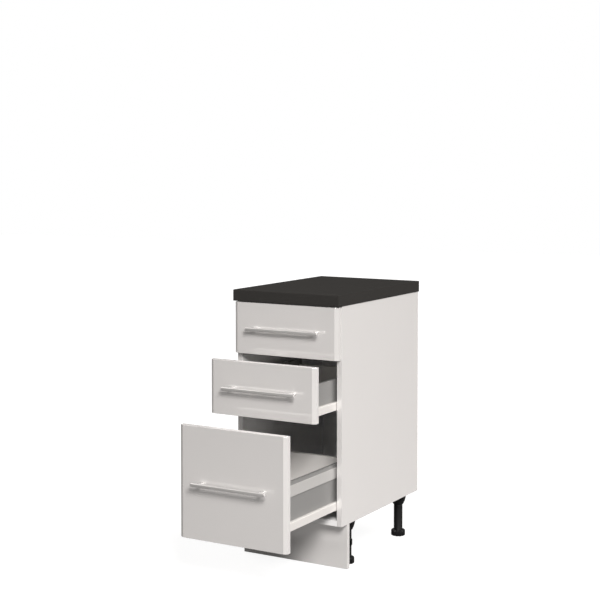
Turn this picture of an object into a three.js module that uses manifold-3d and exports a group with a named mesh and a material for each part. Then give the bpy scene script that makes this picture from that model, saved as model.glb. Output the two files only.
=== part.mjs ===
// A narrow kitchen base cabinet: a white carcass on four screw-in legs, a dark
// worktop, a plinth board, and three steel-sided drawers on roller runners.
// Drawer 1 is closed, drawer 2 is part open and drawer 3 is open further.
//
// Millimetres, +Z up. The cabinet is drawn with x = 0 at its middle, y = 0 at the
// front edge of its side panels (the drawers open towards -Y) and z = 0 at the floor.
// The outer group then moves it so that y = 0 is halfway along the whole object.

import * as THREE from "three";
import { mergeVertices } from "three/addons/utils/BufferGeometryUtils.js";
import Module from "manifold-3d";

const wasm = await Module();
wasm.setup();

// ---------------------------------------------------------------- driving sizes

// carcass
const cabinetWidth = 400;
const carcassDepth = 570;
const carcassHeight = 720;
const panelThickness = 18;
const backThickness = 3;
const backInset = 15; // from the rear edges of the sides to the back panel
const grooveDepth = 6;
const topRailDepth = 100;
const boardGap = 0.3; // slack of the back panel in its grooves

// worktop
const worktopThickness = 38;
const worktopFrontOverhang = 26;
const worktopRearOverhang = 4;
const worktopSideOverhang = 2;
const worktopNosing = 3; // radius of the rounded top front edge

// legs and plinth
const legHeight = 150;
const legSideInset = 40;
const legFrontInset = 110;
const legRearInset = 75;
const shaftRadius = 15.5;
const footRadius = 25;
const footThickness = 21;
const footNotches = 12;
const footNotchDepth = 2.5;
const socketTopRadius = 29;
const socketWaistRadius = 24;
const socketFlangeHeight = 5;
const socketConeHeight = 19;
const socketNeckHeight = 13;
const socketRoof = 3;
const socketWall = 2.5;
const threadClearance = 0.5;
const footRaise = 9; // how far a foot can still be screwed up
const plinthThickness = 16;
const plinthSetback = 38;
const plinthFloorGap = 2;
const plinthTopGap = 1;
const clipHeight = 18;
const clipWall = 2.5;
const clipLevel = 70;
const clipGap = 0.3; // between a clip and the leg that it grips
const clipMouth = 0.62; // half of the clip's opening, in radians
const clipArmWidth = 10;
const clipFootHeight = 36;
const clipRoot = 1; // how far the clip's foot reaches into the plinth board

// drawer fronts
const frontThickness = 22;
const frontGap = 3; // from the carcass to the back of a closed front
const frontReveal = 2; // each side
const frontTopReveal = 3;
const front1Height = 172;
const front2Height = 178;
const front12Gap = 3;
const front23Gap = 8;
const front3Drop = 4; // the lowest front covers the bottom panel's edge and this much more
const bevelWidth = 12;
const bevelDepth = 7.5;

// how far each drawer stands open
const openings = [0, 144, 318];

// roller runners, and the drawer sides that they carry
const runnerSpace = 13; // from a side panel's inner face to the drawer side's outer face
const runnerReveal = 2; // from the side panel to the drawer rail's outer face
const sheet = 1.5;
const slack = 0.5; // between runner sheets that pass each other
const railHeight = 26;
const webDrop = 2.5; // from the drawer rail's lower edge down to the cabinet rail's web
const rollingGap = 0.3;
const frontRollerRadius = 10;
const rearRollerRadius = 9;
const axleRadius = 3;
const axleClearance = 0.3;
const rollerSetback = 15; // from a runner's end to its roller's axle
const runnerSetback = 3; // from the carcass front to the cabinet rail
const runnerFlangeHeight = 20;
const rearClearance = 55; // behind a closed drawer, in front of the back panel

// drawer boxes
const sideThickness = 12;
const sideSheet = 1.2;
const lowSideHeight = 98;
const highSideHeight = 148;
const boardThickness = 16;
const bottomRaise = 3; // from the drawer rail's lower edge up to the drawer bottom
const backDrop = 17; // from the top of the sides down to the top of the drawer back
const rail1Raise = 14; // from each front's lower edge up to its rail
const rail2Raise = 17;
const rail3Raise = 57;
const galleryHeight = 35.5;
const galleryDrop = 10.5;
const galleryThickness = 4;
const galleryChamfer = 1;

// bar handles
const barRadius = 6;
const barLength = 274;
const barChamfer = 1;
const postSpacing = 224;
const postRadius = 5;
const handleReach = 26; // from the front's face to the bar's axis

// ---------------------------------------------------------------- derived places

const carcassBottom = legHeight;
const carcassTop = carcassBottom + carcassHeight;
const innerHalfWidth = cabinetWidth / 2 - panelThickness;
const backFace = carcassDepth - backInset - backThickness; // the back panel's front face
const drawerLength = backFace - rearClearance + frontGap;
const frontHalfWidth = cabinetWidth / 2 - frontReveal;
const sideOuterX = innerHalfWidth - runnerSpace;
const sideInnerX = sideOuterX - sideThickness;
const railOuterX = innerHalfWidth - runnerReveal;

const front1Bottom = carcassTop - frontTopReveal - front1Height;
const front2Bottom = front1Bottom - front12Gap - front2Height;
const front3Bottom = carcassBottom - front3Drop;
const front3Height = front2Bottom - front23Gap - front3Bottom;

// Each drawer by its front's lower edge and height and its sides' height, and the level of
// the lower edge of its drawer rails.
const drawers = [
  { number: 1, bottom: front1Bottom, height: front1Height, sideHeight: lowSideHeight },
  { number: 2, bottom: front2Bottom, height: front2Height, sideHeight: lowSideHeight },
  { number: 3, bottom: front3Bottom, height: front3Height, sideHeight: highSideHeight },
];
const railRaises = [rail1Raise, rail2Raise, rail3Raise];
const rail = ({ number, bottom }) => bottom + railRaises[number - 1];
const sides = [
  { word: "left", sign: -1 },
  { word: "right", sign: 1 },
];

// The whole object runs from the handle of the drawer that stands out most to the
// rear edge of the worktop.
const foremost = -(frontGap + frontThickness + handleReach + barRadius + Math.max(...openings));
const rearmost = carcassDepth + worktopRearOverhang;
const middleY = (foremost + rearmost) / 2;

// ---------------------------------------------------------------- materials

const finish = (color, roughness, metalness) =>
  new THREE.MeshStandardMaterial({ color, roughness, metalness });
const whiteGloss = () => finish(0xf1efec, 0.12, 0);
const whiteBoard = () => finish(0xe9e7e4, 0.35, 0);
const darkLaminate = () => finish(0x33322f, 0.45, 0);
const blackPlastic = () => finish(0x161616, 0.5, 0);
const whiteSteel = () => finish(0xf0eeeb, 0.3, 0.1);
const greySteel = () => finish(0x8f8f8e, 0.35, 0.3);
const brushedSteel = () => finish(0xb9b8b5, 0.28, 0.9);
const rollerPlastic = () => finish(0xe4e1da, 0.4, 0);
const hardboard = () => finish(0xdedbd6, 0.5, 0);

// ---------------------------------------------------------------- making solids

const part = new THREE.Group();
const cabinet = new THREE.Group();
cabinet.position.y = -middleY;
part.add(cabinet);

const drawerGroups = drawers.map((drawer, i) => {
  const group = new THREE.Group();
  group.position.y = -openings[i];
  cabinet.add(group);
  return group;
});

function add(group, name, geometry, material) {
  const mesh = new THREE.Mesh(geometry, material);
  mesh.name = name;
  group.add(mesh);
  return mesh;
}

// A box between two limits along each axis.
function box([x0, x1], [y0, y1], [z0, z1]) {
  return new THREE.BoxGeometry(x1 - x0, y1 - y0, z1 - z0).translate(
    (x0 + x1) / 2,
    (y0 + y1) / 2,
    (z0 + z1) / 2,
  );
}

function extruded(points, depth) {
  const shape = new THREE.Shape(points.map(([a, b]) => new THREE.Vector2(a, b)));
  return new THREE.ExtrudeGeometry(shape, { depth, bevelEnabled: false, curveSegments: 4 });
}

const vector = (x, y, z) => new THREE.Vector3(x, y, z);

// Outlines of [y, z] points, swept along X.
function alongX(points, x0, x1) {
  const turn = new THREE.Matrix4().makeBasis(vector(0, 1, 0), vector(0, 0, 1), vector(1, 0, 0));
  return extruded(points, x1 - x0).applyMatrix4(turn).translate(x0, 0, 0);
}

// Outlines of [x, z] points, swept along Y.
function alongY(points, y0, y1) {
  const turn = new THREE.Matrix4().makeBasis(vector(1, 0, 0), vector(0, 0, 1), vector(0, -1, 0));
  return extruded(points, y1 - y0).applyMatrix4(turn).translate(0, y1, 0);
}

// Outlines of [x, y] points, swept along Z.
const alongZ = (points, z0, z1) => extruded(points, z1 - z0).translate(0, 0, z0);

// Points of an arc, from one angle to another, in radians.
function arc(centreA, centreB, radius, from, to, steps) {
  return Array.from({ length: steps + 1 }, (_, i) => {
    const angle = from + ((to - from) * i) / steps;
    return [centreA + radius * Math.cos(angle), centreB + radius * Math.sin(angle)];
  });
}

// A turned piece: [radius, height] points about a vertical axis.
function turned(points, segments) {
  const profile = points.map(([r, h]) => new THREE.Vector2(r, h));
  return new THREE.LatheGeometry(profile, segments).rotateX(Math.PI / 2);
}

// The same, with its axis along X.
const turnedAlongX = (points, segments) => turned(points, segments).rotateY(Math.PI / 2);

function solid(geometry) {
  const bare = geometry.index ? geometry.toNonIndexed() : geometry.clone();
  bare.deleteAttribute("normal");
  bare.deleteAttribute("uv");
  const merged = mergeVertices(bare, 1e-4);
  return new wasm.Manifold(
    new wasm.Mesh({
      numProp: 3,
      vertProperties: merged.attributes.position.array,
      triVerts: new Uint32Array(merged.index.array),
    }),
  );
}

// Several overlapping shapes joined into one.
function joined(...geometries) {
  const whole = geometries.map(solid).reduce((sum, next) => sum.add(next));
  const mesh = whole.getMesh();
  const geometry = new THREE.BufferGeometry();
  geometry.setAttribute("position", new THREE.BufferAttribute(mesh.vertProperties, 3));
  geometry.setIndex(new THREE.BufferAttribute(mesh.triVerts, 1));
  const flat = geometry.toNonIndexed();
  flat.computeVertexNormals();
  return flat;
}

// ---------------------------------------------------------------- carcass

// A side panel in plan, with the groove that holds the back panel.
function sidePanel({ word, sign }) {
  const outer = (sign * cabinetWidth) / 2;
  const inner = sign * innerHalfWidth;
  const grooved = sign * (innerHalfWidth + grooveDepth);
  const plan = [
    [outer, 0],
    [inner, 0],
    [inner, backFace - boardGap],
    [grooved, backFace - boardGap],
    [grooved, backFace + backThickness + boardGap],
    [inner, backFace + backThickness + boardGap],
    [inner, carcassDepth],
    [outer, carcassDepth],
  ];
  add(cabinet, `side_panel_${word}`, alongZ(plan, carcassBottom, carcassTop), whiteGloss());
}

function carcassBoards() {
  const across = [-innerHalfWidth, innerHalfWidth];
  const depth = [0, backFace - boardGap];
  const underTop = [carcassTop - panelThickness, carcassTop];
  const backHalfWidth = innerHalfWidth + grooveDepth - boardGap;
  const aboveBase = [carcassBottom, carcassBottom + panelThickness];
  add(cabinet, "bottom_panel", box(across, depth, aboveBase), whiteBoard());
  add(cabinet, "top_rail_front", box(across, [0, topRailDepth], underTop), whiteBoard());
  add(cabinet, "top_rail_rear", box(across, [depth[1] - topRailDepth, depth[1]], underTop), whiteBoard());
  const back = box(
    [-backHalfWidth, backHalfWidth],
    [backFace, backFace + backThickness],
    [carcassBottom, carcassTop],
  );
  add(cabinet, "back_panel", back, hardboard());
}

// The worktop in section: square, but for the rounded top front edge.
function worktop() {
  const front = -worktopFrontOverhang;
  const top = carcassTop + worktopThickness;
  const section = [
    [front, carcassTop],
    [rearmost, carcassTop],
    [rearmost, top],
    ...arc(front + worktopNosing, top - worktopNosing, worktopNosing, Math.PI / 2, Math.PI, 3),
  ];
  const halfWidth = cabinetWidth / 2 + worktopSideOverhang;
  add(cabinet, "worktop", alongX(section, -halfWidth, halfWidth), darkLaminate());
}

// ---------------------------------------------------------------- legs and plinth

const socketBottom = carcassBottom - socketFlangeHeight - socketConeHeight - socketNeckHeight;
const legX = cabinetWidth / 2 - legSideInset;
const legPlaces = sides.flatMap(({ word, sign }) => [
  { name: `front_${word}`, x: sign * legX, y: legFrontInset },
  { name: `rear_${word}`, x: sign * legX, y: carcassDepth - legRearInset },
]);

// A moulded socket under the bottom panel: flange, cone and threaded neck.
function legSocket({ name, x, y }) {
  const bore = shaftRadius + threadClearance;
  const roof = carcassBottom - socketRoof;
  const coneTop = carcassBottom - socketFlangeHeight;
  const profile = [
    [0, roof],
    [bore, roof],
    [bore, socketBottom],
    [bore + socketWall, socketBottom],
    [socketWaistRadius, coneTop - socketConeHeight],
    [socketTopRadius, coneTop],
    [socketTopRadius, carcassBottom],
    [0, carcassBottom],
  ];
  add(cabinet, `leg_socket_${name}`, turned(profile, 20).translate(x, y, 0), blackPlastic());
}

// A foot: a notched disc on the floor and the threaded shaft that goes up into the socket.
function legFoot({ name, x, y }) {
  const shaftTop = carcassBottom - socketRoof - footRaise;
  const notchPoints = Array.from({ length: footNotches * 4 }, (_, i) => {
    const radius = i % 4 < 2 ? footRadius : footRadius - footNotchDepth;
    const angle = (2 * Math.PI * (i + 0.5)) / (footNotches * 4);
    return [radius * Math.cos(angle), radius * Math.sin(angle)];
  });
  const shaft = [
    [0, footThickness / 2],
    [shaftRadius, footThickness / 2],
    [shaftRadius, shaftTop],
    [0, shaftTop],
  ];
  const foot = joined(alongZ(notchPoints, 0, footThickness), turned(shaft, 20)).translate(x, y, 0);
  add(cabinet, `leg_foot_${name}`, foot, blackPlastic());
}

// A spring clip in plan: an arm from the plinth, and open jaws round a front leg.
function plinthClip(sign) {
  const centreX = sign * legX;
  const plinthBack = plinthSetback + plinthThickness;
  const inner = shaftRadius + clipGap;
  const outer = inner + clipWall;
  const mouth = Math.PI / 2;
  const jaws = [
    ...arc(centreX, legFrontInset, outer, mouth + clipMouth, mouth + 2 * Math.PI - clipMouth, 16),
    ...arc(centreX, legFrontInset, inner, mouth + 2 * Math.PI - clipMouth, mouth + clipMouth, 16),
  ];
  const clipZ = [clipLevel - clipHeight / 2, clipLevel + clipHeight / 2];
  const arm = box(
    [centreX - clipArmWidth / 2, centreX + clipArmWidth / 2],
    [plinthBack - clipRoot, legFrontInset - inner - clipWall / 2],
    clipZ,
  );
  const foot = box(
    [centreX - outer, centreX + outer],
    [plinthBack - clipRoot, plinthBack + clipWall],
    [clipLevel - clipFootHeight / 2, clipLevel + clipFootHeight / 2],
  );
  return [alongZ(jaws, ...clipZ), arm, foot];
}

function plinth() {
  const board = box(
    [-cabinetWidth / 2, cabinetWidth / 2],
    [plinthSetback, plinthSetback + plinthThickness],
    [plinthFloorGap, carcassBottom - plinthTopGap],
  );
  const clips = sides.flatMap(({ sign }) => plinthClip(sign));
  add(cabinet, "plinth_board", joined(board, ...clips), whiteGloss());
}

// ---------------------------------------------------------------- runners

// Across a runner, from the drawer side outwards: the drawer rail's inner flange, the
// cabinet rail's upright, the rollers, the drawer rail's outer web, the side panel.
const uprightInnerX = sideOuterX + sheet + slack;
const rollerX = [uprightInnerX + sheet + slack, railOuterX - sheet - slack];
const rollerWidth = rollerX[1] - rollerX[0];

const frontRollerZ = (drawer) => rail(drawer) + railHeight - sheet - rollingGap - frontRollerRadius;
const rearRollerZ = (drawer) => rail(drawer) - webDrop + rollingGap + rearRollerRadius;

// A solid round pin along X between two places.
function pin(x0, x1, y, z) {
  const profile = [
    [0, 0],
    [axleRadius, 0],
    [axleRadius, x1 - x0],
    [0, x1 - x0],
  ];
  return turnedAlongX(profile, 12).translate(x0, y, z);
}

function roller(radius, y, z, sign) {
  const bore = axleRadius + axleClearance;
  const ring = [
    [bore, 0],
    [radius, 0],
    [radius, rollerWidth],
    [bore, rollerWidth],
    [bore, 0],
  ];
  const start = sign > 0 ? rollerX[0] : -rollerX[1];
  return turnedAlongX(ring, 16).translate(start, y, z);
}

const between = (a, b) => [Math.min(a, b), Math.max(a, b)];

// The rail on the cabinet: a flange on the side panel, a web under the drawer's rail and
// an upright with the axle of the front roller.
function cabinetRail(drawer, { word, sign }) {
  const webTop = rail(drawer) - webDrop;
  const axleZ = frontRollerZ(drawer);
  const section = [
    [innerHalfWidth, webTop - runnerFlangeHeight],
    [innerHalfWidth, webTop],
    [uprightInnerX + sheet, webTop],
    [uprightInnerX + sheet, axleZ + axleRadius + sheet],
    [uprightInnerX, axleZ + axleRadius + sheet],
    [uprightInnerX, webTop - sheet],
    [innerHalfWidth - sheet, webTop - sheet],
    [innerHalfWidth - sheet, webTop - runnerFlangeHeight],
  ].map(([x, z]) => [sign * x, z]);
  const ends = [runnerSetback, drawerLength + runnerSetback];
  const axleY = runnerSetback + rollerSetback;
  const axle = pin(...between(sign * (uprightInnerX + sheet / 2), sign * rollerX[1]), axleY, axleZ);
  const name = `${drawer.number}_${word}`;
  add(cabinet, `cabinet_rail_${name}`, joined(alongY(section, ...ends), axle), whiteSteel());
  add(cabinet, `cabinet_roller_${name}`, roller(frontRollerRadius, axleY, axleZ, sign), rollerPlastic());
}

// The rail on the drawer: an upturned channel that runs over the cabinet rail, with the
// axle of the rear roller.
function drawerRail(group, drawer, { word, sign }) {
  const bottom = rail(drawer);
  const top = bottom + railHeight;
  const corner = 2 * sheet;
  const section = [
    [sideOuterX, bottom],
    [sideOuterX + sheet, bottom],
    [sideOuterX + sheet, top - sheet],
    [railOuterX - sheet, top - sheet],
    [railOuterX - sheet, bottom],
    [railOuterX, bottom],
    ...arc(railOuterX - corner, top - corner, corner, 0, Math.PI / 2, 3),
    [sideOuterX, top],
  ].map(([x, z]) => [sign * x, z]);
  const ends = [-frontGap, drawerLength - frontGap];
  const axleY = ends[1] - rollerSetback;
  const axleZ = rearRollerZ(drawer);
  const axle = pin(...between(sign * rollerX[0], sign * (railOuterX - sheet / 2)), axleY, axleZ);
  const name = `${drawer.number}_${word}`;
  add(group, `drawer_rail_${name}`, joined(alongY(section, ...ends), axle), whiteSteel());
  add(group, `drawer_roller_${name}`, roller(rearRollerRadius, axleY, axleZ, sign), rollerPlastic());
}

// ---------------------------------------------------------------- drawers

// A steel side in section: two skins folded over at the top, open underneath.
function drawerSide(group, drawer, { word, sign }) {
  const bottom = rail(drawer);
  const top = bottom + drawer.sideHeight;
  const section = [
    [sideOuterX, bottom],
    [sideOuterX, top],
    [sideInnerX, top],
    [sideInnerX, bottom],
    [sideInnerX + sideSheet, bottom],
    [sideInnerX + sideSheet, top - sideSheet],
    [sideOuterX - sideSheet, top - sideSheet],
    [sideOuterX - sideSheet, bottom],
  ].map(([x, z]) => [sign * x, z]);
  const ends = [-frontGap, drawerLength - frontGap];
  add(group, `drawer_side_${drawer.number}_${word}`, alongY(section, ...ends), greySteel());
}

// The white band along the outside of a high drawer side.
function galleryRail(group, drawer, { word, sign }) {
  const top = rail(drawer) + drawer.sideHeight - galleryDrop;
  const bottom = top - galleryHeight;
  const outer = sideOuterX + galleryThickness;
  const section = [
    [sideOuterX, bottom],
    [outer - galleryChamfer, bottom],
    [outer, bottom + galleryChamfer],
    [outer, top - galleryChamfer],
    [outer - galleryChamfer, top],
    [sideOuterX, top],
  ].map(([x, z]) => [sign * x, z]);
  const ends = [-frontGap, drawerLength - frontGap];
  add(group, `gallery_rail_${word}`, alongY(section, ...ends), whiteSteel());
}

function drawerBoards(group, drawer) {
  const across = [-sideInnerX, sideInnerX];
  const rear = drawerLength - frontGap;
  const floor = rail(drawer) + bottomRaise;
  const floorTop = floor + boardThickness;
  const backTop = rail(drawer) + drawer.sideHeight - backDrop;
  const bottom = box(across, [-frontGap, rear], [floor, floorTop]);
  const back = box(across, [rear - boardThickness, rear], [floorTop, backTop]);
  add(group, `drawer_bottom_${drawer.number}`, bottom, whiteBoard());
  add(group, `drawer_back_${drawer.number}`, back, whiteBoard());
}

// A front in plan: a thick board whose upright edges are bevelled.
function drawerFront(group, drawer) {
  const back = -frontGap;
  const face = back - frontThickness;
  const plan = [
    [-frontHalfWidth, back],
    [-frontHalfWidth, face + bevelDepth],
    [-frontHalfWidth + bevelWidth, face],
    [frontHalfWidth - bevelWidth, face],
    [frontHalfWidth, face + bevelDepth],
    [frontHalfWidth, back],
  ];
  const geometry = alongZ(plan, drawer.bottom, drawer.bottom + drawer.height);
  add(group, `drawer_front_${drawer.number}`, geometry, whiteGloss());
}

// A bar handle across the middle of a front, on two posts.
function handle(group, drawer) {
  const middle = drawer.bottom + drawer.height / 2;
  const face = -frontGap - frontThickness;
  const half = barLength / 2;
  const bar = [
    [0, -half],
    [barRadius - barChamfer, -half],
    [barRadius, -half + barChamfer],
    [barRadius, half - barChamfer],
    [barRadius - barChamfer, half],
    [0, half],
  ];
  const post = [
    [0, 0],
    [postRadius, 0],
    [postRadius, handleReach],
    [0, handleReach],
  ];
  const pieces = [turnedAlongX(bar, 16).translate(0, face - handleReach, middle)];
  for (const { sign } of sides) {
    const standing = turned(post, 12).rotateX(Math.PI / 2);
    pieces.push(standing.translate((sign * postSpacing) / 2, face, middle));
  }
  add(group, `handle_${drawer.number}`, joined(...pieces), brushedSteel());
}

// ---------------------------------------------------------------- assembly

sides.forEach(sidePanel);
carcassBoards();
worktop();
legPlaces.forEach(legSocket);
legPlaces.forEach(legFoot);
plinth();

drawers.forEach((drawer, i) => {
  const group = drawerGroups[i];
  drawerFront(group, drawer);
  handle(group, drawer);
  drawerBoards(group, drawer);
  for (const side of sides) {
    cabinetRail(drawer, side);
    drawerRail(group, drawer, side);
    drawerSide(group, drawer, side);
  }
});
for (const side of sides) galleryRail(drawerGroups[2], drawers[2], side);

export default part;
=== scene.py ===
# %% [markdown]
# # A kitchen base cabinet with three steel-sided drawers
#
# The real thing is a narrow base unit: a white high-gloss carcass on four screw-in legs, a dark
# laminate worktop, a plinth board clipped to the front legs, and three drawers on roller runners.
# The upper drawer is shut, the middle one is a little open and the lowest one is open further.
#
# Its boards, sheets and joints already exist as an exact engineering model. That model is loaded
# first, as a fixed frame. Nothing in it is ever moved: each cell below either gives one of its
# solids a better surface, or stands a finer piece in the place of a plain one.

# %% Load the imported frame
import math

import bmesh
import bpy
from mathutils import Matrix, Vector


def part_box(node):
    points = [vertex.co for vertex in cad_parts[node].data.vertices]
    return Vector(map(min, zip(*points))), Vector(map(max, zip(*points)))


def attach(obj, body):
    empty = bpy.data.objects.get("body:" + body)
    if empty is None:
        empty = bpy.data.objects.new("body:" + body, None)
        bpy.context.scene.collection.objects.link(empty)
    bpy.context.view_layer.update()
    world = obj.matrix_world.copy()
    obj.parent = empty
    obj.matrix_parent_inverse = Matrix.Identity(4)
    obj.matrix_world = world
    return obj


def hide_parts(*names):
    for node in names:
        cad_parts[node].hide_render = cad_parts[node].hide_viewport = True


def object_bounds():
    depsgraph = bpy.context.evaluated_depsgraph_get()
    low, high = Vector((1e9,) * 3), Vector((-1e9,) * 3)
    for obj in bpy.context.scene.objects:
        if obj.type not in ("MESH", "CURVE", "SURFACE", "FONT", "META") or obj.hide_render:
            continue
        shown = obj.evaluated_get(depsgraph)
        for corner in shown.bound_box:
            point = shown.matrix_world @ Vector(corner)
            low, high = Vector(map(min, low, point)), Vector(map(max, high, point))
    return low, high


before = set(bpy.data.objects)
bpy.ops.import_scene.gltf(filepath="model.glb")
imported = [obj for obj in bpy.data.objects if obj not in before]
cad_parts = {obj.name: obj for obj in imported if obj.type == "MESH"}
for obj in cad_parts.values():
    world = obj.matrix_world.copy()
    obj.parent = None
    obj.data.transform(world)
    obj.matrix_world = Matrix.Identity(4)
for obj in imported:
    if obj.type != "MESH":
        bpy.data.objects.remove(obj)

cad_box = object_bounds()

# %% [markdown]
# ## The camera
#
# A photograph of a box fixes its camera: the corners of the worktop, the fronts and the side
# panel leave only one place to stand. The camera here stands at the right of the cabinet, a
# little above the worktop, and looks slightly down. The lens is a long one, so the far edges are
# hardly smaller than the near ones. The frame is shifted down rather than the camera tilted
# further, so the uprights stay almost upright.

# %% Stand the camera where the photograph was taken
CAMERA_PLACE = Vector((2.27605, -3.90036, 1.34709))
CAMERA_YAW = math.radians(30.432)
CAMERA_PITCH = math.radians(2.5)
CAMERA_LENS = 80.87
CAMERA_SHIFT = -0.1379
FILM_WIDTH = 36.0
NEAREST_SEEN = 0.05
FARTHEST_SEEN = 60.0

camera_data = bpy.data.cameras.new("camera")
camera_data.sensor_width = FILM_WIDTH
camera_data.lens = CAMERA_LENS
camera_data.shift_y = CAMERA_SHIFT
camera_data.clip_start = NEAREST_SEEN
camera_data.clip_end = FARTHEST_SEEN
camera = bpy.data.objects.new("camera", camera_data)
camera.location = CAMERA_PLACE
camera.rotation_euler = (math.pi / 2 - CAMERA_PITCH, 0.0, CAMERA_YAW)
bpy.context.scene.collection.objects.link(camera)
bpy.context.scene.camera = camera
cabinet_middle = (cad_box[0] + cad_box[1]) / 2
print("camera:", round((CAMERA_PLACE - cabinet_middle).length, 2), "m from the cabinet")

# %% [markdown]
# ## Shader arithmetic
#
# A material in Blender is a tree of nodes. Written node by node it is long and hard to follow, so
# three small classes do the wiring. A `Signal` is the output of one node, and a plus, a minus, a
# times, a comparison or an abs on it adds a Math node. A `Wiring` is any tree, of a material, a
# lamp or the world: its `add` makes every node, from its type, its settings and the values or
# signals for its sockets. A `Finish` is the wiring of one material, with the patterns that the
# finishes below share.

# %% Signals
class Signal:
    """The output socket of one node. Arithmetic on it adds Math nodes."""

    def __init__(self, wiring, socket):
        self.wiring = wiring
        self.socket = socket

    def math(self, operation, *others):
        return self.wiring.add("ShaderNodeMath", {"operation": operation}, [self, *others])

    def __add__(self, other):
        return self.math("ADD", other)

    def __sub__(self, other):
        return self.math("SUBTRACT", other)

    def __rsub__(self, other):
        return self.wiring.add("ShaderNodeMath", {"operation": "SUBTRACT"}, [other, self])

    def __mul__(self, other):
        return self.math("MULTIPLY", other)

    def __lt__(self, other):
        return self.math("LESS_THAN", other)

    def __gt__(self, other):
        return self.math("GREATER_THAN", other)

    def __abs__(self):
        return self.math("ABSOLUTE")

    __radd__ = __add__
    __rmul__ = __mul__


print("signals ready")

# %% Wiring
class Wiring:
    """A tree of nodes, and the one way to add a node to it."""

    def __init__(self, tree):
        self.tree = tree

    def add(self, kind, settings=None, inputs=(), output=0):
        node = self.tree.nodes.new(kind)
        for key, value in (settings or {}).items():
            if key == "stops":
                for stop, (where, grey) in zip(node.color_ramp.elements, value):
                    stop.position = where
                    stop.color = (grey, grey, grey, 1.0)
            else:
                setattr(node, key, value)
        named = inputs.items() if isinstance(inputs, dict) else enumerate(inputs)
        for key, value in named:
            self.plug(node.inputs[key], value)
        return Signal(self, node.outputs[output])

    def plug(self, socket, value):
        if isinstance(value, Signal):
            self.tree.links.new(value.socket, socket)
        else:
            socket.default_value = value


print("wiring ready")

# %% Finishes
# A Mix node has sockets for each kind of data. These are the places of the ones for colours.
MIX_FACTOR, MIX_FIRST, MIX_SECOND, MIX_RESULT = 0, 6, 7, 2


def shade(colour, factor):
    """A colour made lighter or darker, as a shader wants it: with its alpha."""
    return (colour[0] * factor, colour[1] * factor, colour[2] * factor, 1.0)


class Finish(Wiring):
    """One material. Constants are set on the shader's own sockets, and signals feed the rest."""

    def __init__(self, name, **constants):
        self.material = bpy.data.materials.new(name)
        self.material.use_nodes = True
        super().__init__(self.material.node_tree)
        self.shader = self.tree.nodes["Principled BSDF"]
        self.feed(**constants)
        self.place = self.add("ShaderNodeTexCoord", output="Object")

    def feed(self, **values):
        for socket, value in values.items():
            self.plug(self.shader.inputs[socket.replace("_", " ")], value)

    def axis(self, letter):
        return self.add("ShaderNodeSeparateXYZ", None, [self.place], "XYZ".index(letter))

    def noise(self, scale, detail, stretch=(1.0, 1.0, 1.0)):
        spread = self.add("ShaderNodeVectorMath", {"operation": "MULTIPLY"}, [self.place, stretch])
        wanted = {"Vector": spread, "Scale": scale, "Detail": detail}
        return self.add("ShaderNodeTexNoise", None, wanted)

    def ramp(self, signal, low, high):
        """0 below low, 1 above high, and straight in between."""
        stops = [(low, 0.0), (high, 1.0)]
        return self.add("ShaderNodeValToRGB", {"stops": stops}, [signal])

    def mix(self, factor, first, second):
        """Two colours, or two signals of colour, blended by factor."""
        ends = {MIX_FACTOR: factor, MIX_FIRST: first, MIX_SECOND: second}
        return self.add("ShaderNodeMix", {"data_type": "RGBA"}, ends, MIX_RESULT)

    def tones(self, factor, colour, darkest, lightest):
        """One colour that goes from a darker to a lighter shade of itself with factor."""
        return self.mix(factor, shade(colour, darkest), shade(colour, lightest))

    def bump(self, height, distance):
        """A surface that rises by distance, in metres, where height is 1."""
        return self.add("ShaderNodeBump", None, {"Height": height, "Distance": distance})


print("finish helpers ready")

# %% [markdown]
# ## High-gloss white boards
#
# The side panels and the plinth are particle board under a white high-gloss laminate, and the
# fronts have a lacquer. Gloss white is never one flat colour. It mirrors what stands beside it,
# its mirror is a little wavy from the press or the spray gun, and hands leave faint dull patches
# on the fronts. So the colour drifts by about one per cent either way, the roughness of the fronts
# follows a soft cloud, and a very shallow bump with ripples of a few millimetres bends the
# reflections.

# %% White gloss, and the lacquer of the fronts
WHITE = (0.797, 0.790, 0.786)
GLOSS_IOR = 3.9  # index of refraction, high because the gloss mirrors more than plain plastic
LAMINATE_RIPPLE = (150.0, 5e-6)  # scale of the ripples, and their height in metres
LACQUER_RIPPLE = (190.0, 4e-6)
LAMINATE_ROUGHNESS = 0.07
LACQUER_ROUGHNESS = 0.05
TOUCHED_ROUGHNESS = 0.04


def gloss(name, ripple):
    """A wavy white gloss without its roughness. Gives the finish and its drifting white."""
    finish = Finish(name, IOR=GLOSS_IOR)
    white = finish.tones(finish.noise(5.0, 3.0), WHITE, 0.985, 1.01)
    ripple_scale, ripple_height = ripple
    waves = finish.noise(ripple_scale, 1.0)
    finish.feed(Base_Color=white, Normal=finish.bump(waves, ripple_height))
    return finish, white


front_lacquer = gloss("front_lacquer", LACQUER_RIPPLE)[0]
touched = front_lacquer.ramp(front_lacquer.noise(11.0, 4.0), 0.45, 0.75)
front_lacquer.feed(Roughness=LACQUER_ROUGHNESS + TOUCHED_ROUGHNESS * touched)
print("finish:", front_lacquer.material.name)

# %% [markdown]
# ## The plinth and its clips
#
# The plinth board carries two spring clips on its rear face, and they are part of its solid. The
# shader knows where on the cabinet each point lies. So a test on the depth of each point finds
# the clips, and there the white laminate turns into black plastic without its mirror.

# %% Plinth finish
PLINTH_THICKNESS = 0.016
CLIP_BLACK = (0.010, 0.010, 0.0105, 1.0)
CLIP_ROUGHNESS = 0.35
BEHIND_BOARD = 0.0003

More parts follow.
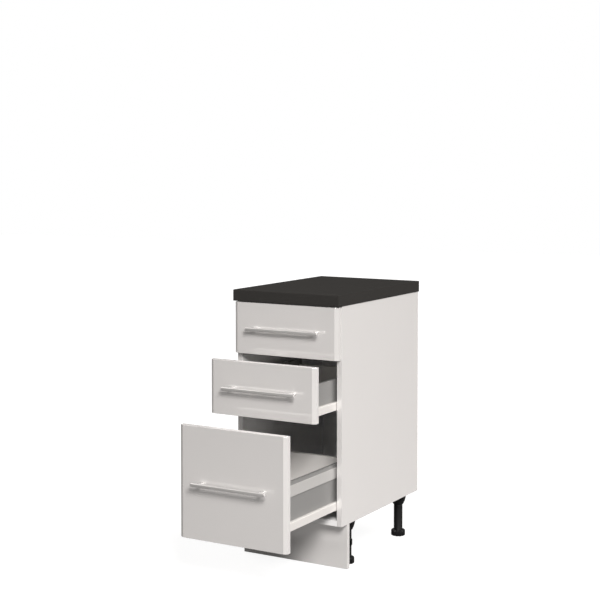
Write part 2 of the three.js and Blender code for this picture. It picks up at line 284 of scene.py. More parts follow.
plinth_gloss, plinth_white = gloss("plinth_gloss", LAMINATE_RIPPLE)
plinth_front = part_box("plinth_board")[0].y
clips = plinth_gloss.axis("Y") > plinth_front + PLINTH_THICKNESS + BEHIND_BOARD
plinth_gloss.feed(
    Base_Color=plinth_gloss.mix(clips, plinth_white, CLIP_BLACK),
    Metallic=clips,
    Roughness=LAMINATE_ROUGHNESS + CLIP_ROUGHNESS * clips,
)
print("finish:", plinth_gloss.material.name, "with clips behind y =", round(plinth_front, 4))

# %% [markdown]
# ## The side panels: gloss outside, matt inside
#
# A side panel is one solid, but it has two surfaces. Its outer face and its edge band are glossy,
# and its inner face is a dull melamine. One material can do both, in the same way as for the
# clips: every point nearer to the middle than the panel's inner face is matt. A hairline marks
# where the 1 mm edge band meets the faces.

# %% Side panel finish
INNER_WHITE = (0.885, 0.89, 0.895)
INNER_ROUGHNESS = 0.4
INTO_BOARD = 0.0005
BAND_THICKNESS = 0.001
SEAM_HALF_WIDTH = 0.00012
SEAM_STRENGTH = 0.35
SEAM_GREY = shade(WHITE, 0.3)

side_gloss, side_white = gloss("side_gloss", LAMINATE_RIPPLE)
panel_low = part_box("side_panel_right")[0]
inner = abs(side_gloss.axis("X")) < panel_low.x + INTO_BOARD
seam = abs(side_gloss.axis("Y") - (panel_low.y + BAND_THICKNESS)) < SEAM_HALF_WIDTH
pebbled = side_gloss.tones(side_gloss.noise(900.0, 2.0), INNER_WHITE, 0.96, 1.03)
board = side_gloss.mix(inner, side_white, pebbled)
side_gloss.feed(
    Base_Color=side_gloss.mix(SEAM_STRENGTH * seam, board, SEAM_GREY),
    Roughness=LAMINATE_ROUGHNESS + INNER_ROUGHNESS * inner,
)
print("side panel: matt inside of x =", round(panel_low.x, 4))

# %% [markdown]
# ## Melamine and hardboard
#
# The drawer bottoms and backs and the hidden boards are white melamine: dull, with a fine pebble
# pressed into it. The cabinet's back is thin hardboard, painted on the side that faces the
# drawers and bare brown fibre on the side that faces the wall. Fibres are a noise that is denser
# in one direction, and larger, lighter flecks lie over them.

# %% Board finishes
DRAWER_WHITE = (0.64, 0.632, 0.62)
BARE_FIBRE = (0.27, 0.17, 0.09)
PEBBLE_HEIGHT = 1.2e-5


def melamine(name, colour):
    finish = Finish(name)
    pebble = finish.noise(1100.0, 2.0)
    finish.feed(
        Base_Color=finish.tones(finish.noise(7.0, 3.0), colour, 0.98, 1.01),
        Roughness=0.38 + 0.12 * pebble,
        Normal=finish.bump(pebble, PEBBLE_HEIGHT),
    )
    return finish


drawer_board = melamine("drawer_board", DRAWER_WHITE)
carcass_board = melamine("carcass_board", INNER_WHITE)

hardboard = melamine("hardboard", INNER_WHITE)
back_low, back_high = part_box("back_panel")
rear_face = hardboard.axis("Y") > (back_low.y + back_high.y) / 2
fibres = hardboard.noise(260.0, 5.0, (1.0, 1.0, 2.5))
flecks = hardboard.ramp(hardboard.noise(75.0, 6.0), 0.35, 0.7)
bare = hardboard.tones(fibres, BARE_FIBRE, 0.72, 1.2)
flecked = hardboard.mix(0.35 * flecks, bare, shade(BARE_FIBRE, 1.5))
painted = hardboard.tones(fibres, INNER_WHITE, 0.97, 1.02)
hardboard.feed(
    Base_Color=hardboard.mix(rear_face, painted, flecked),
    Roughness=0.45 + 0.3 * rear_face,
)
print("boards:", [board.material.name for board in (drawer_board, carcass_board, hardboard)])

# %% [markdown]
# ## The worktop's laminate
#
# The worktop is anthracite laminate: matt, with a barely visible speckle of lighter dots and a
# fine grain that breaks up its shine. A slow cloud under the dots keeps the dark from being flat.

# %% Worktop finish
ANTHRACITE = (0.0335, 0.0325, 0.031)
GRAIN_HEIGHT = 2e-5

worktop_laminate = Finish("worktop_laminate", Specular_IOR_Level=0.02)
grain = worktop_laminate.noise(1500.0, 3.0)
dots = worktop_laminate.ramp(worktop_laminate.noise(620.0, 3.0), 0.56, 0.66)
cloudy = worktop_laminate.tones(worktop_laminate.noise(9.0, 4.0), ANTHRACITE, 0.93, 1.05)
worktop_laminate.feed(
    Base_Color=worktop_laminate.mix(0.5 * dots, cloudy, shade(ANTHRACITE, 1.6)),
    Roughness=0.62 + 0.14 * grain,
    Normal=worktop_laminate.bump(grain, GRAIN_HEIGHT),
)
print("finish:", worktop_laminate.material.name)

# %% [markdown]
# ## Painted and plated metal
#
# The rails have a smooth white powder coat, and the drawer sides a grey one with a trace of metal
# in it. The gallery bands have a powder coat too, but its grey is painted shade: an even darkening
# that stands in for the shade falling along them. Powder coat sets with a faint orange peel and
# has tiny flecks. The handles are stainless steel, brushed along the bar, so the scratches are a
# noise that is stretched eighty times and more along X. Screws and brackets are zinc plated, in
# cloudy patches.

# %% Powder coats
PEEL_HEIGHT = 8e-6


def powder_coat(name, colour, roughness, metallic=0.0):
    finish = Finish(name, Metallic=metallic)
    orange_peel = finish.noise(420.0, 2.0)
    fleck = finish.noise(2600.0, 1.0)
    tone = finish.tones(finish.noise(8.0, 2.0), colour, 0.975, 1.015)
    finish.feed(
        Base_Color=finish.mix(0.2 * fleck, tone, shade(colour, 1.2)),
        Roughness=roughness + 0.08 * orange_peel,
        Normal=finish.bump(orange_peel, PEEL_HEIGHT),
    )
    return finish


white_coat = powder_coat("white_coat", (0.64, 0.63, 0.615), 0.22)
# The gallery's grey is painted shade: the coat is darkened evenly to stand in for the shade along
# the bands.
gallery_coat_painted_shade = powder_coat("gallery_coat_painted_shade", (0.43, 0.427, 0.42), 0.30)
grey_coat = powder_coat("grey_coat", (0.285, 0.285, 0.282), 0.32, 0.3)
print("powder coats:", [coat.material.name for coat in (white_coat, gallery_coat_painted_shade, grey_coat)])

# %% Brushed steel and zinc plate
STEEL_DARK = (0.66, 0.655, 0.65, 1.0)
STEEL_LIGHT = (0.84, 0.835, 0.83, 1.0)
SCRATCH_HEIGHT = 6e-6
ZINC_DARK = (0.50, 0.51, 0.52, 1.0)
ZINC_LIGHT = (0.68, 0.68, 0.67, 1.0)

brushed_steel = Finish("brushed_steel", Metallic=0.7)
scratches = brushed_steel.noise(3000.0, 2.0, (0.012, 1.0, 1.0))
long_scratches = brushed_steel.noise(900.0, 1.0, (0.004, 1.0, 1.0))
brushed_steel.feed(
    Base_Color=brushed_steel.mix(scratches, STEEL_DARK, STEEL_LIGHT),
    Roughness=0.26 + 0.12 * long_scratches,
    Normal=brushed_steel.bump(scratches, SCRATCH_HEIGHT),
)

zinc = Finish("zinc_plate", Metallic=1.0)
bloom = zinc.noise(300.0, 3.0)
zinc.feed(
    Base_Color=zinc.mix(bloom, ZINC_DARK, ZINC_LIGHT),
    Roughness=0.26 + 0.18 * bloom,
)
print("metals:", brushed_steel.material.name, zinc.material.name)

# %% [markdown]
# ## Plastic
#
# Three plastics are left: the legs' black one with a spark-eroded texture, the rollers' white
# acetal, and the grey one of the small covers in the drawers. All are moulded, so faint streaks
# show how they flowed, and a fine grain comes from the mould.

# %% Plastics
FLOW_STRETCH = (1.0, 1.0, 0.3)


def moulded(name, colour, roughness, texture):
    finish = Finish(name, Specular_IOR_Level=0.22)
    sparks = finish.noise(1400.0, 3.0)
    finish.feed(
        Base_Color=finish.tones(finish.noise(40.0, 2.0, FLOW_STRETCH), colour, 0.9, 1.1),
        Roughness=roughness + 0.15 * sparks,
        Normal=finish.bump(sparks, texture),
    )
    return finish


black_plastic = moulded("black_plastic", (0.0065, 0.0065, 0.007), 0.36, 2.5e-5)
acetal = moulded("acetal", (0.76, 0.74, 0.70), 0.3, 8e-6)
grey_plastic = moulded("grey_plastic", (0.30, 0.30, 0.295), 0.4, 1.5e-5)
print("plastics:", [kind.material.name for kind in (black_plastic, acetal, grey_plastic)])

# %% [markdown]
# ## Dress the CAD solids
#
# Boards and sheets already have their true shape, so they stay, and only their surface changes.
# A real edge is never perfectly sharp, though, and a tiny round is what catches the light. It
# comes from modifiers, which leave the solid itself alone: one merges the corner points, one
# joins the triangles of each flat face, and one rounds every edge by a millimetre or less.

# %% A finish and round edges for one solid
SAME_POINT = 1e-6
FLAT_ANGLE = math.radians(0.5)
EDGE_ANGLE = math.radians(30)


def dress(node, finish, radius, segments=2):
    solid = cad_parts[node]
    solid.data.materials.clear()
    solid.data.materials.append(finish.material)
    weld = solid.modifiers.new("corners", "WELD")
    weld.merge_threshold = SAME_POINT
    flat = solid.modifiers.new("flat_faces", "DECIMATE")
    flat.decimate_type = "DISSOLVE"
    flat.angle_limit = FLAT_ANGLE
    edge = solid.modifiers.new("edges", "BEVEL")
    edge.width = radius
    edge.segments = segments
    edge.limit_method = "ANGLE"
    edge.angle_limit = EDGE_ANGLE
    edge.harden_normals = True


print("edges are those that bend by more than", round(math.degrees(EDGE_ANGLE)), "degrees")

# %% Dress the boards, the sheets and the rails
NUMBERS = (1, 2, 3)
HANDS = ("left", "right")
THIN_EDGE = 0.0002
FINE_EDGE = 0.0004
BANDED_EDGE = 0.0005
FOLDED_EDGE = 0.0005
LACQUER_EDGE = 0.0008
GALLERY_EDGE = 0.0010

for hand in HANDS:
    dress(f"side_panel_{hand}", side_gloss, BANDED_EDGE)
    dress(f"gallery_rail_{hand}", gallery_coat_painted_shade, GALLERY_EDGE, 3)
for node in ("bottom_panel", "top_rail_front", "top_rail_rear"):
    dress(node, carcass_board, FINE_EDGE)
dress("back_panel", hardboard, THIN_EDGE)
dress("worktop", worktop_laminate, FINE_EDGE)
dress("plinth_board", plinth_gloss, BANDED_EDGE)
for number in NUMBERS:
    dress(f"drawer_front_{number}", front_lacquer, LACQUER_EDGE, 3)
    dress(f"drawer_bottom_{number}", drawer_board, FINE_EDGE)
    dress(f"drawer_back_{number}", drawer_board, FINE_EDGE)
    for hand in HANDS:
        dress(f"drawer_side_{number}_{hand}", grey_coat, FOLDED_EDGE)
        dress(f"drawer_rail_{number}_{hand}", white_coat, FINE_EDGE)
        dress(f"cabinet_rail_{number}_{hand}", white_coat, FINE_EDGE)
print("dressed", sum(len(solid.modifiers) == 3 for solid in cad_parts.values()), "solids")

# %% [markdown]
# ## Making new pieces
#
# Every finer piece below is a skin over a row of loops: circles for what is turned on a lathe,
# outlines for what is cut or moulded. One function joins the loops into a closed surface, and
# another turns the result into a piece that rides on its body, with smooth shading wherever the
# surface bends by less than a set angle.

# %% Loops and skins
AXES = {
    "x": (Vector((1, 0, 0)), Vector((0, 1, 0)), Vector((0, 0, 1))),
    "y": (Vector((0, 1, 0)), Vector((0, 0, 1)), Vector((1, 0, 0))),
    "z": (Vector((0, 0, 1)), Vector((1, 0, 0)), Vector((0, 1, 0))),
}


def loop(centre, axis, height, radius, count):
    """Points round an axis. radius is a number, or a function of the angle."""
    along, across, up = AXES[axis]
    points = []
    for i in range(count):
        angle = 2 * math.pi * i / count
        r = radius(angle) if callable(radius) else radius
        spoke = math.cos(angle) * across + math.sin(angle) * up
        points.append(centre + height * along + r * spoke)
    return points


def skin(shape, loops, closed_ring=False):
    """Joins equal loops in a row, and caps the two ends unless the row closes on itself."""
    rows = [[shape.verts.new(point) for point in points] for points in loops]
    if closed_ring:
        rows.append(rows[0])
    else:
        shape.faces.new(rows[0][::-1])
        shape.faces.new(rows[-1])
    for low, high in zip(rows, rows[1:]):
        for i, first in enumerate(low):
            j = (i + 1) % len(low)
            shape.faces.new((first, low[j], high[j], high[i]))


def turned(shape, centre, axis, profile, count, closed_ring=False):
    """A form round an axis: profile is a list of (radius, height)."""
    loops = [loop(centre, axis, height, radius, count) for radius, height in profile]
    skin(shape, loops, closed_ring)


def mirrored(half_profile):
    """A profile that is the same on both sides of its middle, from one half of it."""
    return half_profile + [(radius, -height) for radius, height in reversed(half_profile)]


print("loops and skins ready")

# %% Pieces
SMOOTH_ANGLE = math.radians(32)


def make_piece(name, shape, finish, body, stands_for=None):
    mesh = bpy.data.meshes.new(name)
    bmesh.ops.recalc_face_normals(shape, faces=shape.faces)
    shape.to_mesh(mesh)
    shape.free()
    mesh.shade_smooth()
    mesh.set_sharp_from_angle(angle=SMOOTH_ANGLE)
    mesh.materials.append(finish.material)
    piece = bpy.data.objects.new(name, mesh)
    bpy.context.scene.collection.objects.link(piece)
    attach(piece, body)
    if stands_for:
        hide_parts(stands_for)


print("pieces are smooth up to", round(math.degrees(SMOOTH_ANGLE)), "degrees")

# %% [markdown]
# ## Bar handles
#
# The handle is a round steel bar on two round posts. Handles like this have a small rounded edge
# at the bar's ends, and a narrow neck on each post just before it meets the front. The photograph
# is too coarse to show either. Bar and posts are lathe work, so circles along an axis make them.

# %% Handles
BAR_RADIUS = 0.006
BAR_END_ROUND = 0.0012
BAR_POINTS = 40
POST_RADIUS = 0.005
POST_HALF_SPACING = 0.112
POST_POINTS = 28
POST_START = 0.002  # from the bar's axis, so the post begins inside the bar
NECK_RADIUS = POST_RADIUS - 0.0007


def rounded_end(radius, length, round_off, steps=4):
    """Half of a turned bar's profile, from its end face to its middle."""
    rim = []
    for i in range(steps + 1):
        angle = math.pi / 2 * i / steps
        shrink = round_off * (1 - math.sin(angle))
        rim.append((radius - shrink, -length / 2 + round_off * (1 - math.cos(angle))))
    return rim


for number in NUMBERS:
    low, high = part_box(f"handle_{number}")
    bar_centre = Vector((0, low.y + BAR_RADIUS, (low.z + high.z) / 2))
    bar_length = high.x - low.x
    reach = high.y - bar_centre.y
    handle = bmesh.new()
    bar = mirrored(rounded_end(BAR_RADIUS, bar_length, BAR_END_ROUND))
    turned(handle, bar_centre, "x", bar, BAR_POINTS)
    post = [
        (POST_RADIUS, POST_START),
        (POST_RADIUS, reach - 0.0024),
        (NECK_RADIUS, reach - 0.002),
        (NECK_RADIUS, reach - 0.0012),
        (POST_RADIUS, reach - 0.0009),
        (POST_RADIUS, reach),
    ]
    for sign in (-1, 1):
        post_place = bar_centre + Vector((sign * POST_HALF_SPACING, 0, 0))
        turned(handle, post_place, "y", post, POST_POINTS)
    make_piece(
        f"bar_handle_{number}", handle, brushed_steel,
        f"drawer_{number}", f"handle_{number}",
    )
print("handles: bar", round(bar_length, 3), "m long, reach", round(reach, 3), "m")

# %% [markdown]
# ## Screws
#
# Screw heads are small, but a runner without any looks unreal. A pan head is a low dome with a
# cross recess. All its loops have the same number of points, so the cross is simply a loop whose
# radius swings between long and short four times round.

# %% A pan head screw
CROSS_POINTS = 24
PAN_HEAD = (0.0035, 0.0016)  # radius and height


def cross(long, short):
    """The outline of a cross recess, as a radius for each angle."""
    def radius(angle):
        swing = abs(math.cos(2 * angle)) ** 3
        return short + (long - short) * swing
    return radius


def screw_head(shape, place, axis, way, size=PAN_HEAD):
    """A head that stands on a face at place. way is 1 or -1: its dome is on +axis or -axis."""
    radius, height = size
    steps = [
        (radius, 0.0),
        (radius, 0.35 * height),
        (radius * 0.88, 0.78 * height),
        (radius * 0.66, height),
        (cross(radius * 0.58, radius * 0.17), height),
        (cross(radius * 0.4, radius * 0.12), 0.3 * height),
    ]
    turned(shape, place, axis, [(r, way * h) for r, h in steps], CROSS_POINTS)


print("pan head:", 2000 * PAN_HEAD[0], "mm across")

# %% Screws of the cabinet's rails
RAIL_SCREW_PLACES = (0.028, 0.21, 0.405)
RAIL_SCREW_RISE = 0.009
RAIL_THICKNESS = 0.0015
SIDES = {"left": -1, "right": 1}

for number in NUMBERS:
    for hand, side in SIDES.items():
        low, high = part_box(f"cabinet_rail_{number}_{hand}")
        flange_x = side * (max(abs(low.x), abs(high.x)) - RAIL_THICKNESS)
        screws = bmesh.new()
        for step in RAIL_SCREW_PLACES:
            place = Vector((flange_x, low.y + step, low.z + RAIL_SCREW_RISE))
            screw_head(screws, place, "x", -side)
        make_piece(f"rail_screws_{number}_{hand}", screws, zinc, "carcass")
print("rail screws:", len(RAIL_SCREW_PLACES), "on each of", 2 * len(NUMBERS), "rails")

# %% [markdown]
# ## Rollers
#
# Each runner has two plastic rollers: one at the front of the cabinet's rail and one at the rear
# of the drawer's rail. A real roller is moulded, with a rounded rim and a shallow dish between
# rim and hub. Its profile is a closed ring round the bore, so it needs no caps.

# %% Rollers
BORE_RADIUS = 0.0033
HUB_RADIUS = 0.0052
RIM_WIDTH = 0.0018
DISH_DEPTH = 0.0007
ROLLER_EDGE = 0.0005
ROLLER_POINTS = 36


def roller(name):
    """Stands a moulded roller for the plain one. Node and body have the same name."""
    low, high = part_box(name)
    radius = (high.z - low.z) / 2
    half = (high.x - low.x) / 2
    rim = radius - RIM_WIDTH
    right = [
        (BORE_RADIUS, half - ROLLER_EDGE),
        (BORE_RADIUS + ROLLER_EDGE, half),
        (HUB_RADIUS, half),
        (HUB_RADIUS + ROLLER_EDGE, half - DISH_DEPTH),
        (rim - ROLLER_EDGE, half - DISH_DEPTH),
        (rim, half),
        (radius - ROLLER_EDGE, half),
        (radius, half - ROLLER_EDGE),
    ]
    shape = bmesh.new()
    turned(shape, (low + high) / 2, "x", mirrored(right), ROLLER_POINTS, closed_ring=True)
    make_piece(f"{name}_moulded", shape, acetal, name, name)


for number in NUMBERS:
    for hand in HANDS:
        for kind in ("cabinet", "drawer"):
            roller(f"{kind}_roller_{number}_{hand}")
print("rollers:", 4 * len(NUMBERS))

# %% [markdown]
# ## Feet
#
# A leg is two mouldings, a socket and a foot. The foot is a shaft with a coarse thread at its
# upper end and a notched disc on the floor, so that it can be turned by hand or with a key. Disc
# and thread are loops too: the disc's radius dips at each notch, and the thread's depends on
# height and angle, so that the groove climbs as it goes round.

# %% The foot's outlines
LEG_POINTS = 96
SHAFT_RADIUS = 0.0155
FOOT_RADIUS = 0.025
NOTCHES = 12
NOTCH_DEPTH = 0.0022
NOTCH_START = 0.45  # the share of a wave below which the disc is whole
NOTCH_ROUNDNESS = 0.6
THREAD_PITCH = 0.004
GROOVE_HALF_WIDTH = 0.28  # as a share of the pitch
GROOVE_STEEPNESS = 1.6


def notched(shrink):
    """A disc's edge with a rounded notch between each two grips."""
    def radius(angle):
        wave = max(0.0, math.cos(NOTCHES * angle) - NOTCH_START) / (1 - NOTCH_START)
        return FOOT_RADIUS - shrink - NOTCH_DEPTH * wave ** NOTCH_ROUNDNESS
    return radius


def threaded(height, depth):
    """The shaft's radius at a height: a groove that climbs one pitch for each turn."""
    def radius(angle):
        phase = (height / THREAD_PITCH - angle / (2 * math.pi)) % 1.0
        groove = max(0.0, 1 - abs(phase - 0.5) / GROOVE_HALF_WIDTH)
        return SHAFT_RADIUS - depth * min(1.0, GROOVE_STEEPNESS * groove)
    return radius


print("foot:", NOTCHES, "notches, thread of", 1000 * THREAD_PITCH, "mm pitch")

# %% Feet
LEG_PLACES = ("front_left", "front_right", "rear_left", "rear_right")
DISC_TOP = 0.021
THREAD_START = 0.106
THREAD_RUNOUT = 0.002
THREAD_DEPTH = 0.0009
THREAD_STEPS = 8  # loops in each pitch
TIP_CHAMFER = 0.001


def foot_shape(centre, top):
    profile = [
        (notched(0.0022), 0.0),
        (notched(0.0008), 0.0008),
        (notched(0.0), 0.0022),
        (notched(0.0), 0.0165),
        (notched(0.0007), 0.0190),
        (notched(0.0024), 0.0205),
        (notched(0.0050), DISC_TOP),
        (SHAFT_RADIUS + 0.0012, DISC_TOP),
        (SHAFT_RADIUS + 0.0004, DISC_TOP + 0.0004),
        (SHAFT_RADIUS, DISC_TOP + 0.0012),
        (SHAFT_RADIUS, THREAD_START),
    ]
    steps = int((top - THREAD_RUNOUT - THREAD_START) / THREAD_PITCH * THREAD_STEPS)
    for i in range(1, steps + 1):
        height = THREAD_START + THREAD_PITCH * i / THREAD_STEPS
        depth = THREAD_DEPTH * min(1.0, i / THREAD_STEPS)
        profile.append((threaded(height, depth), height))
    core = SHAFT_RADIUS - THREAD_DEPTH
    profile += [(core, top - TIP_CHAMFER), (core - TIP_CHAMFER, top)]
    shape = bmesh.new()
    turned(shape, centre, "z", profile, LEG_POINTS)
    return shape


def leg_centre(place):
    low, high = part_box(f"leg_foot_{place}")
    return Vector(((low.x + high.x) / 2, (low.y + high.y) / 2, 0))


for place in LEG_PLACES:
    foot = foot_shape(leg_centre(place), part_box(f"leg_foot_{place}")[1].z)
    make_piece(
        f"screw_foot_{place}", foot, black_plastic,
        f"leg_foot_{place}", f"leg_foot_{place}",
    )
print("feet:", len(LEG_PLACES))

# %% [markdown]
# ## Leg sockets
#
# The socket is screwed up under the bottom panel: a round bowl whose neck has shallow flutes,
# where fingers would hold it. Its profile runs out under the roof, down the bore, up the outside
# and back across the top, so it is a closed ring. The flutes are a wave on two of its loops.

# %% Sockets
FLUTES = 24
FLUTE_DEPTH = 0.001
SHAFT_CLEARANCE = 0.0005
NECK_WALL = 0.0025
ROOF_THICKNESS = 0.003
BORE_EDGE = 0.0005
SOCKET_EDGE = 0.0006


def fluted(radius, depth):
    def wave(angle):
        return radius - depth * (0.5 + 0.5 * math.cos(FLUTES * angle)) ** 2
    return wave


def socket_shape(centre, low, high):
    bore = SHAFT_RADIUS + SHAFT_CLEARANCE
    neck = bore + NECK_WALL
    rim = (high.x - low.x) / 2
    bottom, top = low.z, high.z
    profile = [
        (bore * 0.5, top - ROOF_THICKNESS),
        (bore, top - ROOF_THICKNESS),
        (bore, bottom + BORE_EDGE),
        (bore + BORE_EDGE, bottom),
        (neck - SOCKET_EDGE, bottom),
        (neck, bottom + SOCKET_EDGE),
        (fluted(neck + 0.0011, 0.9 * FLUTE_DEPTH), bottom + 0.0025),
        (fluted(neck + 0.0047, FLUTE_DEPTH), bottom + 0.0110),
        (neck + 0.0056, bottom + 0.0135),
        (neck + 0.0074, bottom + 0.0200),
        (rim - SOCKET_EDGE, top - 0.0062),
        (rim, top - 0.0052),
        (rim, top - SOCKET_EDGE),
        (rim - SOCKET_EDGE, top),
        (bore * 0.5, top),
    ]
    shape = bmesh.new()
    turned(shape, centre, "z", profile, LEG_POINTS, closed_ring=True)
    return shape


for place in LEG_PLACES:
    socket = socket_shape(leg_centre(place), *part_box(f"leg_socket_{place}"))
    make_piece(
        f"screw_socket_{place}", socket, black_plastic,
        "carcass", f"leg_socket_{place}",
    )
print("sockets:", len(LEG_PLACES))

# %% [markdown]
# ## What holds a drawer together
#
# Inside each drawer, two screws come through the front from behind and hold the handle's posts.
# A grey plastic cover on each steel side carries the two heads that adjust the front. At the
# back, a small steel bracket on each side is screwed to the rear board. None of these is in the
# photograph. They are guessed from what one sees on looking into such a drawer.

# %% Handle screws
HANDLE_SCREW_HEAD = (0.0042, 0.0022)

for number in NUMBERS:
    front_low, front_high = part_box(f"drawer_front_{number}")
    screws = bmesh.new()
    for side in SIDES.values():
        middle_z = (front_low.z + front_high.z) / 2
        place = Vector((side * POST_HALF_SPACING, front_high.y, middle_z))
        screw_head(screws, place, "y", 1, HANDLE_SCREW_HEAD)
    make_piece(f"handle_screws_{number}", screws, zinc, f"drawer_{number}")
print("handle screws:", 2 * len(NUMBERS))

# %% A flat plate with round corners
PLATE_EDGE = 0.0003
CORNER_STEPS = 4
QUARTERS = ((1, 1), (-1, 1), (-1, -1), (1, -1))


def rounded_plate(shape, centre, axis, thickness, half_wide, half_high, corner):
    """A plate that stands out from centre by thickness, which may be below 0."""
    along, across, up = AXES[axis]
    outline = []
    for quarter, (a, b) in enumerate(QUARTERS):
        for i in range(CORNER_STEPS + 1):
            angle = math.pi / 2 * (quarter + i / CORNER_STEPS)
            outline.append((
                a * (half_wide - corner) + corner * math.cos(angle),
                b * (half_high - corner) + corner * math.sin(angle),
            ))
    shoulder = thickness - math.copysign(PLATE_EDGE, thickness)
    loops = []
    for height, inset in ((0.0, 0.0), (shoulder, 0.0), (thickness, PLATE_EDGE)):
        wide = 1 - inset / half_wide
        tall = 1 - inset / half_high
        loops.append([
            centre + height * along + u * wide * across + v * tall * up for u, v in outline
        ])
    skin(shape, loops)


print("plates: corners of", CORNER_STEPS, "steps")

# %% Front covers
COVER_THICKNESS = 0.0022
COVER_HALF_LENGTH = 0.019
COVER_HALF_HEIGHT = 0.013
COVER_CORNER = 0.004
COVER_BEHIND_FRONT = 0.034
COVER_RISE = 0.062
CAM_HEAD = (0.0045, 0.0008)
CAM_OFFSET = 0.009


def front_cover(front_high, wall_low, side):
    """The cover inside one steel side, with the two heads that adjust the front."""
    cover = bmesh.new()
    inward = -side * COVER_THICKNESS
    middle_y = front_high.y + COVER_BEHIND_FRONT
    middle = Vector((side * wall_low.x, middle_y, wall_low.z + COVER_RISE))
    plate_size = (COVER_HALF_LENGTH, COVER_HALF_HEIGHT, COVER_CORNER)
    rounded_plate(cover, middle, "x", inward, *plate_size)
    for step in (-CAM_OFFSET, CAM_OFFSET):
        screw_head(cover, middle + Vector((inward, step, 0)), "x", -side, CAM_HEAD)
    return cover


for number in NUMBERS:
    front_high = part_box(f"drawer_front_{number}")[1]
    wall_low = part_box(f"drawer_side_{number}_right")[0]
    for hand, side in SIDES.items():
        cover = front_cover(front_high, wall_low, side)
        name = f"front_cover_{number}_{hand}"
        make_piece(name, cover, grey_plastic, f"drawer_{number}")
print("front covers:", 2 * len(NUMBERS))

# %% Rear brackets
BRACKET_THICKNESS = 0.0012
BRACKET_HALF_WIDTH = 0.013
BRACKET_CORNER = 0.002
BRACKET_INSET = 0.006  # from the steel side to the bracket's middle
BRACKET_SHORTER = 0.006  # by how much half a bracket is shorter than half the space for it
BRACKET_RISE = 0.004
BRACKET_SCREW_SHARE = 0.6  # how far out on the bracket its screws are
BRACKET_SCREW_INWARD = 0.004


def rear_bracket(board_high, wall_low, side):
    """The bracket at one end of the rear board, with its two screws."""
    bracket = bmesh.new()
    half_high = (board_high.z - wall_low.z) / 2 - BRACKET_SHORTER
    middle_x = side * (wall_low.x - BRACKET_INSET)
    middle = Vector((middle_x, board_high.y, wall_low.z + BRACKET_RISE + half_high))
    plate_size = (half_high, BRACKET_HALF_WIDTH, BRACKET_CORNER)
    rounded_plate(bracket, middle, "y", BRACKET_THICKNESS, *plate_size)
    for share in (-BRACKET_SCREW_SHARE, BRACKET_SCREW_SHARE):
        offset = Vector((-side * BRACKET_SCREW_INWARD, BRACKET_THICKNESS, share * half_high))
        screw_head(bracket, middle + offset, "y", 1)
    return bracket


for number in NUMBERS:
    board_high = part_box(f"drawer_back_{number}")[1]
    wall_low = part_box(f"drawer_side_{number}_right")[0]
    for hand, side in SIDES.items():
        bracket = rear_bracket(board_high, wall_low, side)
        make_piece(f"back_bracket_{number}_{hand}", bracket, zinc, f"drawer_{number}")
print("rear brackets:", 2 * len(NUMBERS))

# %% [markdown]
# ## The lamp
#
# The photograph is a cut-out on white. The soft shadows below the handles fall to the left, so
# the main light is one square lamp, high and to the right of the camera. Its light doesn't fade
# with distance, because the photograph's fronts are almost equally light from top to bottom.

# %% Directions, and the lamp
LIGHT_TINT = (1.0, 0.962, 0.935)
LAMP_AIM = Vector((0.0, -0.05, 0.45))
LAMP_AZIMUTH = 39
LAMP_ELEVATION = 31.6
LAMP_DISTANCE = 3.6
LAMP_SIZE = 1.1
LAMP_WATTS = 145.0


def direction(azimuth, elevation):
    """A unit vector, from degrees round the cabinet from its front and up from the floor."""
    a, e = math.radians(azimuth), math.radians(elevation)
    return Vector((math.sin(a) * math.cos(e), -math.cos(a) * math.cos(e), math.sin(e)))


lamp_data = bpy.data.lights.new("light_key", "AREA")
lamp_data.shape = "SQUARE"
lamp_data.size = LAMP_SIZE
lamp_data.energy = LAMP_WATTS
lamp_data.color = LIGHT_TINT
lamp_data.use_nodes = True
lamp_wiring = Wiring(lamp_data.node_tree)
reach = {"Strength": 1 / LAMP_DISTANCE ** 2}
unfading = lamp_wiring.add("ShaderNodeLightFalloff", None, reach, "Constant")
lamp_wiring.plug(lamp_data.node_tree.nodes["Emission"].inputs["Strength"], unfading)

away = direction(LAMP_AZIMUTH, LAMP_ELEVATION)
lamp = bpy.data.objects.new("light_key", lamp_data)
lamp.location = LAMP_AIM + LAMP_DISTANCE * away
lamp.rotation_mode = "QUATERNION"
lamp.rotation_quaternion = away.to_track_quat("Z", "Y")
bpy.context.scene.collection.objects.link(lamp)
print("lamp:", LAMP_SIZE, "m square, at", [round(v, 2) for v in lamp.location])

# %% [markdown]
# ## The room
#
# The broad side panel is the lightest surface, so a wide glow stands at the cabinet's right.
# Weaker light fills in: from above, from high behind on the left, and evenly from everywhere.
# Gloss shows its surroundings, so what is not a light has to stay dim, or the fronts would turn
# milky. The room's light therefore is a sum of soft lobes, and only the camera sees plain white.

# %% Glows and backdrop
PURE_WHITE = (1.0, 1.0, 1.0, 1.0)
EVEN_LIGHT = 0.11
# azimuth and elevation in degrees, strength, and how narrow the lobe is
GLOWS = [
    (0, 86, 0.25, 14.0),
    (95, 30, 4.5, 12.0),
    (-112, 45, 2.8, 14.0),
]

world = bpy.data.worlds.new("studio")
world.use_nodes = True
bpy.context.scene.world = world
world_nodes = world.node_tree.nodes
room = Wiring(world.node_tree)
outward = room.add("ShaderNodeTexCoord", output="Generated")
room_light = EVEN_LIGHT
for azimuth, elevation, strength, narrowness in GLOWS:
    ends = [outward, direction(azimuth, elevation)]
    facing = room.add("ShaderNodeVectorMath", {"operation": "DOT_PRODUCT"}, ends, "Value")
    lobe = facing.math("MAXIMUM", 0.0).math("POWER", narrowness)
    room_light = room_light + strength * lobe

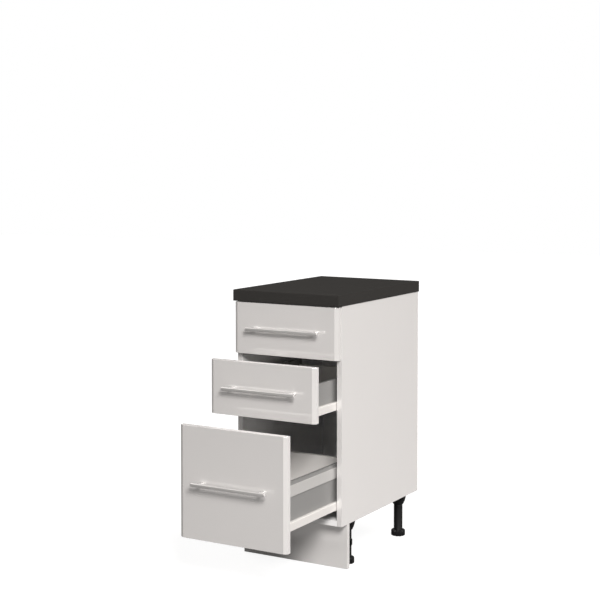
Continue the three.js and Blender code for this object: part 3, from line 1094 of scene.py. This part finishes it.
room.plug(world_nodes["Background"].inputs["Color"], (*LIGHT_TINT, 1.0))
room.plug(world_nodes["Background"].inputs["Strength"], room_light)
glowing_room = Signal(room, world_nodes["Background"].outputs["Background"])
backdrop = room.add("ShaderNodeBackground", None, {"Color": PURE_WHITE, "Strength": 1.0})
seen = room.add("ShaderNodeLightPath", output="Is Camera Ray")
shown = room.add("ShaderNodeMixShader", None, [seen, glowing_room, backdrop])
room.plug(world_nodes["World Output"].inputs["Surface"], shown)
print("room:", len(GLOWS), "glows")

# %% [markdown]
# ## The floor
#
# The floor takes the cabinet's faint shadow, and it fades into the white backdrop so that it has
# no visible end. It gives the camera its own even white, with a small share left for the shadow,
# but its true colour is a grey. So the gloss has little to mirror in it.

# %% Floor
FLOOR_HALF = 14.0
FLOOR_GLOW = 0.88
FLOOR_GREY = (0.19, 0.19, 0.19, 1.0)
BLACK = (0.0, 0.0, 0.0, 1.0)
FADE_START = 0.6
FADE_END = 2.6

ground = bmesh.new()
corners = [(FLOOR_HALF * a, FLOOR_HALF * b, 0) for a, b in QUARTERS]
ground.faces.new([ground.verts.new(corner) for corner in corners])
floor_mesh = bpy.data.meshes.new("floor")
ground.to_mesh(floor_mesh)
ground.free()
floor = bpy.data.objects.new("floor", floor_mesh)
bpy.context.scene.collection.objects.link(floor)

studio_floor = Finish(
    "studio_floor", Roughness=1.0, Base_Color=FLOOR_GREY, Emission_Strength=1.0,
)
floor_seen = studio_floor.add("ShaderNodeLightPath", output="Is Camera Ray")
distance = studio_floor.add(
    "ShaderNodeVectorMath", {"operation": "LENGTH"}, [studio_floor.place], "Value",
)
fade = studio_floor.ramp(distance * (1 / FADE_END), FADE_START / FADE_END, 1.0)
glow = floor_seen * (FLOOR_GLOW + (1.0 - FLOOR_GLOW) * fade)
studio_floor.feed(Emission_Color=studio_floor.mix(glow, BLACK, PURE_WHITE))
floor_mesh.materials.append(studio_floor.material)

bpy.context.scene.view_settings.view_transform = "Standard"
print("floor:", 2 * FLOOR_HALF, "m square")
